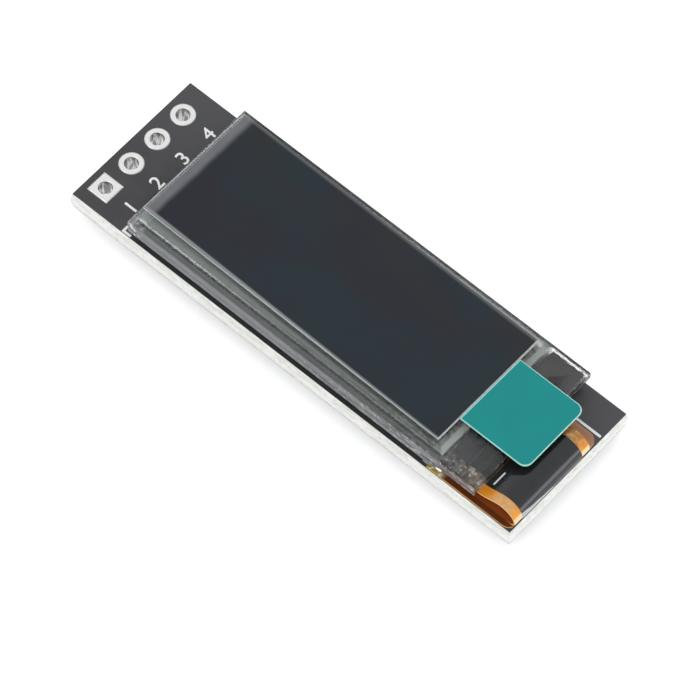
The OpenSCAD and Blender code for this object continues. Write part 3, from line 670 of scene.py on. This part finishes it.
def board_core(material):
    """The bare board, with milled bevels and a rough broken web round its edge."""
    low, _, size = size_of("board")
    web = 0.1 * MM
    deep = 0.5 * MM
    pitch = 0.11 * MM
    # The size and depth of the broken edge's grain, and of its wider nicks
    grain, ragged = 0.22 * MM, 0.035 * MM
    nick_l, nick_d = 1.4 * MM, 0.12 * MM
    thick = size.z
    half = Vector((size.x / 2 - web, size.y / 2 - web))
    # The rows of the edge's section: height share, how far out, and how rough
    rows = [(0.0, 0.0, 0.0), (0.12 * deep, 0.12 * web, 0.15), (0.5 * deep, 0.5 * web, 0.2),
            (0.9 * deep, 0.9 * web, 0.3)]
    web_rows = 6
    for i in range(web_rows + 1):
        rows.append((deep + (thick - 2 * deep) * i / web_rows, web, 1.0))
    rows += [(thick - z, out, rough) for z, out, rough in reversed(rows[:4])]
    outline = []
    for side in range(4):
        turn = Matrix.Rotation(side * math.pi / 2, 2)
        reach, away = (half.x, half.y) if side % 2 == 0 else (half.y, half.x)
        steps = int(2 * reach / pitch)
        for i in range(steps):
            t = -1 + 2 * i / steps
            outline.append((turn, t, reach, away, i == 0))
    verts = []
    for turn, t, reach, away, corner in outline:
        for z, out, rough in rows:
            flat = turn @ Vector((t * (reach + out), -(away + out)))
            spot = Vector((flat.x, flat.y, low.z + z))
            rag = noise.fractal(spot / grain, 0.9, 2.1, 4) * ragged
            nick = max(0.0, noise.noise(Vector((flat.x, flat.y, 0)) / nick_l) - 0.25) * nick_d
            cut = rough * (min(0.0, rag - 0.02 * MM) - nick)
            inward = turn @ Vector((0.0, 1.0))
            shift = inward * abs(cut)
            if corner:
                shift = Vector((0, 0))
            verts.append((spot.x + shift.x, spot.y + shift.y, spot.z))
    n = len(outline)
    k = len(rows)
    faces = grid_faces(n, k, closed_columns=True)
    faces.append([c * k for c in range(n)])
    faces.append([c * k + k - 1 for c in reversed(range(n))])
    core = piece("board_core", ["board"], verts, faces, [material], smooth_below=60)
    drill_holes(core)
    return core


def drill_holes(core):
    """Cuts the four pin holes, a little wider than their plating."""
    radius = HOLE_R + DRILL_OVER
    for i in range(1, 5):
        low, high, size = size_of(f"pin_pad_{i}")
        drill = bmesh.new()
        bmesh.ops.create_cone(drill, cap_ends=True, segments=48, radius1=radius, radius2=radius,
                              depth=size.z * 3, matrix=Matrix.Translation((low + high) / 2))
        mesh = bpy.data.meshes.new("drill")
        drill.to_mesh(mesh)
        drill.free()
        tool = bpy.data.objects.new("drill", mesh)
        bpy.context.scene.collection.objects.link(tool)
        cut = core.modifiers.new("drill", "BOOLEAN")
        cut.operation = "DIFFERENCE"
        cut.object = tool
        applied(core)
        bpy.data.objects.remove(tool)


def applied(made):
    """Applies the modifiers of a piece to its mesh."""
    graph = bpy.context.evaluated_depsgraph_get()
    mesh = bpy.data.meshes.new_from_object(made.evaluated_get(graph))
    made.modifiers.clear()
    made.data = mesh


def pin_pad(i, ring, wall_material):
    """A plated barrel with a domed ring of solder on both faces; the first ring is square."""
    low, high, size = size_of(f"pin_pad_{i}")
    middle = (low + high) / 2
    segments = 72
    dome = 0.05 * MM
    # How square the first ring is: a higher power makes its corners sharper
    power = 14
    steps = 8
    half = size.x / 2
    angles = [math.pi * j / steps for j in range(steps + 1)]
    arc = [(0.5 - 0.5 * math.cos(a), math.sin(a)) for a in angles]
    # (share of the way from the hole to the pad's edge, height), once round the section
    section = [(s, high.z - dome + dome * h ** 0.6) for s, h in arc]
    section += [(None, high.z - dome), (None, low.z + dome)]
    section += [(s, low.z + dome - dome * h ** 0.6) for s, h in reversed(arc)]
    verts = []
    for c in range(segments):
        a = 2 * math.pi * c / segments
        d = Vector((math.cos(a), math.sin(a)))
        edge = half
        if i == 1:
            edge = half / (abs(d.x) ** power + abs(d.y) ** power) ** (1 / power)
        for share, z in section:
            r = HOLE_R + PLATING if share is None else HOLE_R + share * (edge - HOLE_R)
            verts.append((middle.x + r * d.x, middle.y + r * d.y, z))
    faces = grid_faces(segments, len(section), closed_columns=True, closed_rows=True)
    which = [1 if r == len(section) - 1 else 0 for c in range(segments) for r in range(len(section))]
    piece(f"pad_ring_{i}", [f"pin_pad_{i}"], verts, faces, [ring, wall_material], which,
          smooth_below=50)


def pin_number(i, material):
    """The plain number of a pin, printed between its pad and the glass."""
    tall = 1.45 * MM
    bolder = 0.012 * MM
    gap = 0.8 * MM
    pad_low, pad_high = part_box(f"pin_pad_{i}")
    ink_low, ink_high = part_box("silkscreen_top")
    curve = bpy.data.curves.new("number", "FONT")
    curve.body = str(i)
    curve.size = tall
    curve.align_x = "CENTER"
    curve.extrude = (ink_high.z - ink_low.z) / 2
    curve.offset = bolder
    source = bpy.data.objects.new("number", curve)
    bpy.context.scene.collection.objects.link(source)
    bpy.context.view_layer.update()
    graph = bpy.context.evaluated_depsgraph_get()
    mesh = bpy.data.meshes.new_from_object(source.evaluated_get(graph))
    bpy.data.objects.remove(source)
    mesh.transform(Matrix.Rotation(math.pi / 2, 4, "Z"))
    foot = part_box("front_glass")[0].x - gap
    mesh.transform(Matrix.Translation((foot, (pad_low.y + pad_high.y) / 2, (ink_low.z + ink_high.z) / 2)))
    mesh.materials.clear()
    finished(f"pin_number_{i}", [], mesh, [material], smooth_below=20)


# ---------------------------------------------------------------- film and pull tab

class Film:
    """The place of the protective film: its middle, its half sizes and its small turn on the glass."""

    def __init__(self):
        low, high, size = size_of("protective_film")
        self.turn = -FILM_TURN
        self.centre = (low + high) / 2
        c, n = math.cos(FILM_TURN), math.sin(FILM_TURN)
        spread = c * c - n * n
        self.half = Vector((size.x * c - size.y * n, size.y * c - size.x * n)) / (2 * spread)


def pull_tab(face, rim):
    """The tab: a thin sheet with round free corners, a soft upper edge and a pale cut rim."""
    low, high, size = size_of("pull_tab")
    corner = 0.6 * MM
    round_off = 0.03 * MM
    steps = 10
    ring = [(low.x, low.y)]
    for cx, cy, start in ((high.x - corner, low.y + corner, -90), (high.x - corner, high.y - corner, 0)):
        for j in range(steps + 1):
            a = math.radians(start + 90 * j / steps)
            ring.append((cx + corner * math.cos(a), cy + corner * math.sin(a)))
    ring.append((low.x + size.y * math.tan(FILM_TURN), high.y))
    centre = Vector(((low.x + high.x) / 2, (low.y + high.y) / 2))

    def pulled(point, inset):
        """A point of the outline, drawn in toward the middle."""
        v = Vector(point)
        reach = Vector((size.x / 2, size.y / 2))
        return (centre.x + (v.x - centre.x) * (1 - inset / reach.x),
                centre.y + (v.y - centre.y) * (1 - inset / reach.y))

    # The rows of the section: how far in, and height
    rows = [(round_off * 0.5, low.z), (0.0, low.z + round_off * 0.5), (0.0, high.z - round_off),
            (round_off * 0.3, high.z - round_off * 0.3), (round_off, high.z), (2.2 * round_off, high.z)]
    verts = [(*pulled(point, inset), z) for point in ring for inset, z in rows]
    n, k = len(ring), len(rows)
    faces = grid_faces(n, k, closed_columns=True)
    which = [1] * len(faces)
    faces.append([c * k for c in range(n)])
    faces.append([c * k + k - 1 for c in reversed(range(n))])
    which += [0, 0]
    piece("tab_sheet", ["pull_tab"], verts, faces, [face, rim], which, smooth_below=50)


# ---------------------------------------------------------------- flat cable

class Loop:
    """The line of the flat cable, from its bonded end over the loop and back to the contacts."""

    def __init__(self):
        cable_low, cable_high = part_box("flex_cable")
        cover_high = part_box("flex_cover")[1]
        glass_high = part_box("front_glass")[1]
        self.thick = 0.12 * MM
        self.cover = 0.05 * MM
        # How far the cable rises from its bonded end, and the lengths of its upper and lower bends
        rise = 0.5 * MM
        crest_l = 1.15 * MM
        turn_l = 0.75 * MM
        # Where the two bends meet, as a share of the height
        share = 0.3
        # How far the bonded end and the tail reach back under the glass
        bonded_l = 1.5 * MM
        tail_l = 3.98 * MM
        steps = 40
        tail_z = cable_low.z + self.thick / 2
        crest_z = cable_high.z - self.thick / 2
        bond_z = crest_z - rise
        apex_x = cover_high.x - self.cover - self.thick / 2
        apex_z = tail_z + share * (crest_z - tail_z)
        start = self.start = glass_high.x + self.cover
        crest_x = apex_x - crest_l
        turn_x = apex_x - turn_l
        line = []
        for i in range(steps + 1):
            u = i / steps
            line.append((start + u * (crest_x - start), bond_z + rise * (1 - math.cos(math.pi * u)) / 2))
        for i in range(1, steps + 1):
            a = math.pi / 2 * (1 - i / steps)
            line.append((crest_x + crest_l * math.cos(a), apex_z + (crest_z - apex_z) * math.sin(a)))
        for i in range(1, steps + 1):
            a = -math.pi / 2 * i / steps
            line.append((turn_x + turn_l * math.cos(a), apex_z + (apex_z - tail_z) * math.sin(a)))
        self.bend = [Vector(point) for point in line]
        self.bonded = Vector((glass_high.x - bonded_l, bond_z))
        self.tail = Vector((glass_high.x - tail_l, tail_z))

    def whole(self):
        """The whole line, with its bonded end and its tail."""
        return [self.bonded, *self.bend, self.tail]

    def from_glass(self, line):
        """The line, begun close to the end of the glass."""
        return [Vector((self.start - self.cover + BOND, line[0].y)), *line]

    def beside(self, line, distance):
        """A line that runs at a distance from another, outside the loop where the distance is positive."""
        out = []
        for i, point in enumerate(line):
            run = line[min(i + 1, len(line) - 1)] - line[max(i - 1, 0)]
            normal = Vector((-run.y, run.x)).normalized()
            out.append(point + distance * normal)
        return out


def ribbon(name, nodes, outer, inner, y_low, y_high, materials):
    """A strip between two lines in the X-Z plane. Materials: outside, inside, cut edges."""
    across = 9
    outer_rows = len(outer)
    ring = outer + inner[::-1]
    n = len(ring)
    ys = [y_low + (y_high - y_low) * j / (across - 1) for j in range(across)]
    verts = [(point.x, y, point.y) for y in ys for point in ring]
    faces = grid_faces(across, n, closed_rows=True)
    which = []
    for c in range(across - 1):
        for r in range(n):
            if r < outer_rows - 1:
                which.append(0)
            elif r == outer_rows - 1 or r == n - 1:
                which.append(2)
            else:
                which.append(1)
    caps = []
    for c in (0, across - 1):
        for r in range(outer_rows - 1):
            caps.append((c * n + r, c * n + r + 1, c * n + n - 2 - r, c * n + n - 1 - r))
    faces += caps
    which += [2] * len(caps)
    return piece(name, nodes, verts, faces, materials, which, smooth_below=50)


def flat_cable(materials, cover_material):
    """The cable's loop with its soldered tail, and the black cover on the outside of the loop."""
    loop = Loop()
    low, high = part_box("flex_cable")
    cover_low, cover_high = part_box("flex_cover")
    # The neck is the narrow part. The cover lies inside its width, and stops short of the end of the bend.
    neck_over = 0.75 * MM
    neck_width = 7.4 * MM
    short_by = 10
    neck_low = cover_low.y - neck_over
    neck_high = neck_low + neck_width
    line = loop.whole()
    outer = loop.beside(line, loop.thick / 2)
    inner = loop.beside(line, -loop.thick / 2)
    ribbon("cable_loop", ["flex_cable"], outer, inner, neck_low, neck_high, materials)
    first, last = 1, len(loop.bend) - short_by
    on_bend = loop.from_glass(loop.beside(line, loop.thick / 2)[first:last])
    over_bend = loop.from_glass(loop.beside(line, loop.thick / 2 + loop.cover)[first:last])
    ribbon("cable_cover", ["flex_cover"], over_bend, on_bend, cover_low.y, cover_high.y,
           [cover_material] * 3)
    wings(loop, low, high, neck_low, neck_high, materials)


def wings(loop, low, high, neck_low, neck_high, materials):
    """The tail's parts that stand out on both sides of the loop, with round free corners."""
    corner = 0.7 * MM
    # How far the free ends stop short of the loop's outermost point
    set_back = 0.16 * MM
    steps = 10
    x0 = loop.tail.x
    x1 = high.x - set_back
    z0 = low.z
    z1 = z0 + loop.thick
    sides = (("near", neck_low, low.y, materials[4]), ("far", neck_high, high.y, materials[3]))
    for name, inside, edge, face in sides:
        out = 1 if edge > inside else -1
        reach = min(corner, abs(edge - inside))
        ring = [(x0, inside), (x0, edge)]
        for j in range(steps + 1):
            a = math.radians(90 - 90 * j / steps)
            ring.append((x1 - corner + corner * math.cos(a), edge - out * reach + out * reach * math.sin(a)))
        ring.append((x1, inside))
        verts = [(x, y, z) for x, y in ring for z in (z0, z1)]
        n = len(ring)
        faces = grid_faces(n, 2, closed_columns=True)
        which = [2] * len(faces)
        faces.append([c * 2 for c in range(n)])
        faces.append([c * 2 + 1 for c in reversed(range(n))])
        which += [0, 0]
        piece("cable_tail_" + name, [], verts, faces, [face, face, materials[2]], which)


# ---------------------------------------------------------------- back parts

def rounded_box(low, high, r, index, verts, faces, which):
    """Adds a box with its edges cut twice, so that they look round."""
    made = bmesh.new()
    bmesh.ops.create_cube(made, size=1)
    centre, size = (low + high) / 2, high - low
    for v in made.verts:
        v.co = Vector((centre.x + v.co.x * size.x, centre.y + v.co.y * size.y, centre.z + v.co.z * size.z))
    bmesh.ops.bevel(made, geom=made.edges[:], offset=r, segments=3, profile=0.5, affect="EDGES")
    made.verts.index_update()
    base = len(verts)
    verts += [tuple(v.co) for v in made.verts]
    faces += [[base + v.index for v in f.verts] for f in made.faces]
    which += [index] * len(made.faces)
    made.free()


def chip_part(node, body, metal, end_l):
    """A ceramic body between two metal ends. The ends stand a little proud of the body."""
    low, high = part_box(node)
    verts, faces, which = [], [], []
    proud = 0.02 * MM
    body_r = 0.04 * MM
    end_r = 0.07 * MM
    inset = Vector((0, proud, proud))
    inner = Vector((end_l * 0.6, 0, 0))
    rounded_box(low + inset + inner, high - inset - inner, body_r, 0, verts, faces, which)
    rounded_box(low, Vector((low.x + end_l, high.y, high.z)), end_r, 1, verts, faces, which)
    rounded_box(Vector((high.x - end_l, low.y, low.z)), high, end_r, 1, verts, faces, which)
    piece(node + "_body", [node], verts, faces, [body, metal], which, smooth_below=50)


# ---------------------------------------------------------------- stage

def floor():
    """A plain pale floor. It looks white to the camera, and keeps the object's shadow."""
    mesh = bpy.data.meshes.new("floor")
    reach = 3.0
    drop = -0.01 * MM
    glow = 0.42
    corners = [(-reach, -reach, drop), (reach, -reach, drop), (reach, reach, drop), (-reach, reach, drop)]
    mesh.from_pydata(corners, [], [(0, 1, 2, 3)])
    made = bpy.data.objects.new("floor", mesh)
    bpy.context.scene.collection.objects.link(made)
    p = Paint("floor", (0.9, 0.9, 0.9), 0.9)
    p.set("Base Color", p.mix(p.noise(60, 2), (0.90, 0.90, 0.90), (0.88, 0.88, 0.885)))
    path = p.add("LightPath")
    seen = p.math("MAXIMUM", path.outputs["Is Camera Ray"], path.outputs["Is Glossy Ray"])
    seen = p.math("MAXIMUM", seen, path.outputs["Is Transmission Ray"])
    p.set("Emission Color", (1.0, 1.0, 1.0))
    p.set("Emission Strength", p.both(seen, glow))
    mesh.materials.append(p.material)


def sky():
    """Even soft light, a little dimmer overhead, with a bright window low on the cable's side."""
    level_low, level_high = 1.02, 0.84
    window_toward = Vector((0.92, 0.39, 0.06)).normalized()
    window_level = 2.6
    world = bpy.data.worlds.new("sky")
    bpy.context.scene.world = world
    world.use_nodes = True
    tree = world.node_tree
    back = tree.nodes["Background"]

    def add(kind):
        return tree.nodes.new("ShaderNode" + kind)

    def graded(value, start, end, low, high):
        """A soft change from low to high as the value goes from start to end."""
        node = add("MapRange")
        node.interpolation_type = "SMOOTHSTEP"
        tree.links.new(value, node.inputs["Value"])
        for socket, number in (("From Min", start), ("From Max", end), ("To Min", low), ("To Max", high)):
            node.inputs[socket].default_value = number
        return node.outputs["Result"]

    def joined(operation, first, second):
        """One operation on two outputs."""
        node = add("Math")
        node.operation = operation
        tree.links.new(first, node.inputs[0])
        tree.links.new(second, node.inputs[1])
        return node.outputs[0]

    where = add("TexCoord").outputs["Generated"]
    parts = add("SeparateXYZ")
    tree.links.new(where, parts.inputs["Vector"])
    toward = add("VectorMath")
    toward.operation = "DOT_PRODUCT"
    tree.links.new(where, toward.inputs[0])
    toward.inputs[1].default_value = window_toward
    level = graded(parts.outputs["Z"], 0.1, 0.9, level_low, level_high)
    window = graded(toward.outputs["Value"], 0.93, 0.99, 0.0, window_level)
    path = add("LightPath")
    level = joined("ADD", level, window)
    tree.links.new(joined("MAXIMUM", level, path.outputs["Is Camera Ray"]), back.inputs["Strength"])
    back.inputs["Color"].default_value = (0.98, 0.99, 1.0, 1)


def lamp(name, place, size, watts):
    """A soft square lamp that looks at the object."""
    data = bpy.data.lights.new(name, "AREA")
    data.size = size
    data.energy = watts
    made = bpy.data.objects.new(name, data)
    made.location = place
    made.rotation_mode = "QUATERNION"
    made.rotation_quaternion = (-Vector(place)).to_track_quat("-Z", "Y")
    bpy.context.scene.collection.objects.link(made)


def camera():
    """The camera that sees the object as it was seen."""
    ahead = Vector((-math.sin(AZIMUTH) * math.cos(ELEVATION), math.cos(AZIMUTH) * math.cos(ELEVATION),
                    -math.sin(ELEVATION)))
    right = ahead.cross(Vector((0, 0, 1))).normalized()
    up = right.cross(ahead)
    right, up = (math.cos(ROLL) * right + math.sin(ROLL) * up, math.cos(ROLL) * up - math.sin(ROLL) * right)
    data = bpy.data.cameras.new("camera")
    data.lens = LENS
    data.sensor_width = SENSOR
    made = bpy.data.objects.new("camera", data)
    turn = Matrix((right, up, -ahead)).transposed().to_4x4()
    made.matrix_world = Matrix.Translation(AIM - DISTANCE * ahead) @ turn
    bpy.context.scene.collection.objects.link(made)
    bpy.context.scene.camera = made


# ---------------------------------------------------------------- the scene

camera()
floor()
sky()
lamp("key", (-0.10, -0.34, 0.36), 0.3, 0.25)

INK, MASK, TIN, WALL = white_ink(), solder_mask(), tin(), barrel()
GLASS = glass(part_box("front_glass"))
board_core(fibreglass(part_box("board")))
for mask_node in ("solder_mask_top", "solder_mask_bottom"):
    cad(mask_node, MASK)
for ink_node in ("silkscreen_top", "silkscreen_bottom"):
    cad(ink_node, INK)
for number in range(1, 5):
    pin_pad(number, TIN, WALL)
    pin_number(number, INK)

cad("mounting_tape", foam())
for glass_node in ("cap_glass", "front_glass"):
    cad(glass_node, GLASS)
SEAL_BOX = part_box("seal_frame")
FILM = Film()
bonded("drying_layer", "drying_sheet", drying_sheet(), down=BOND)
bonded("seal_bead", "seal_frame", seal(SEAL_BOX), up=BOND, down=BOND)
bonded("emitter_stack", "emitter_layers", emitter(FILM), up=BOND)
bonded("polarizer_sheet", "polarizer", polarizer(), up=BOND, down=BOND)
cad("protective_film", film_face(FILM, SEAL_BOX[0].x + SEAL_W))
pull_tab(tab_face(), tab_rim())

bonded("chip_die", "driver_chip", silicon(), up=BOND)
bonded("resin_black", "chip_resin", black_resin(), up=BOND)
bonded("resin_clear", "clear_resin", clear_resin(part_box("clear_resin")), up=BOND)
bonded("bond_layer", "bond_film",
       bond_film(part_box("clear_resin"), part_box("chip_resin")[0].y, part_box("front_glass")[1].x), up=BOND)

AMBER = amber_face(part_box("flex_cable")[1].z)
BROWN = polyimide("flex_inside", (0.42, 0.095, 0.02), (0.24, 0.05, 0.012), 0.3)
EDGE = polyimide("flex_edge", (0.95, 0.60, 0.25), (0.85, 0.42, 0.12), 0.4)
TAIL = polyimide("flex_tail", (0.55, 0.30, 0.17), (0.40, 0.20, 0.11), 0.35)
RUST = near_tail(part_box("flex_cable")[0].x)
flat_cable([AMBER, BROWN, EDGE, TAIL, RUST], cover_film(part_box("flex_cover")))
SOLDER = tin("solder")
cad("flex_solder_joints", SOLDER)

cad("regulator_body", moulding())
cad("regulator_leads", TIN)
cad("back_solder_joints", SOLDER)
CERAMIC = ceramic("capacitor", (0.40, 0.27, 0.16), (0.50, 0.36, 0.23))
COATED = ceramic("resistor", (0.018, 0.018, 0.020), (0.035, 0.035, 0.037))
for number in range(1, 5):
    chip_part(f"capacitor_large_{number}", CERAMIC, TIN, END_L)
    chip_part(f"resistor_{number}", COATED, TIN, END_L)
for number in range(1, 7):
    chip_part(f"capacitor_small_{number}", CERAMIC, TIN, END_L)

bpy.context.scene.view_settings.view_transform = "Standard"
bpy.context.view_layer.update()
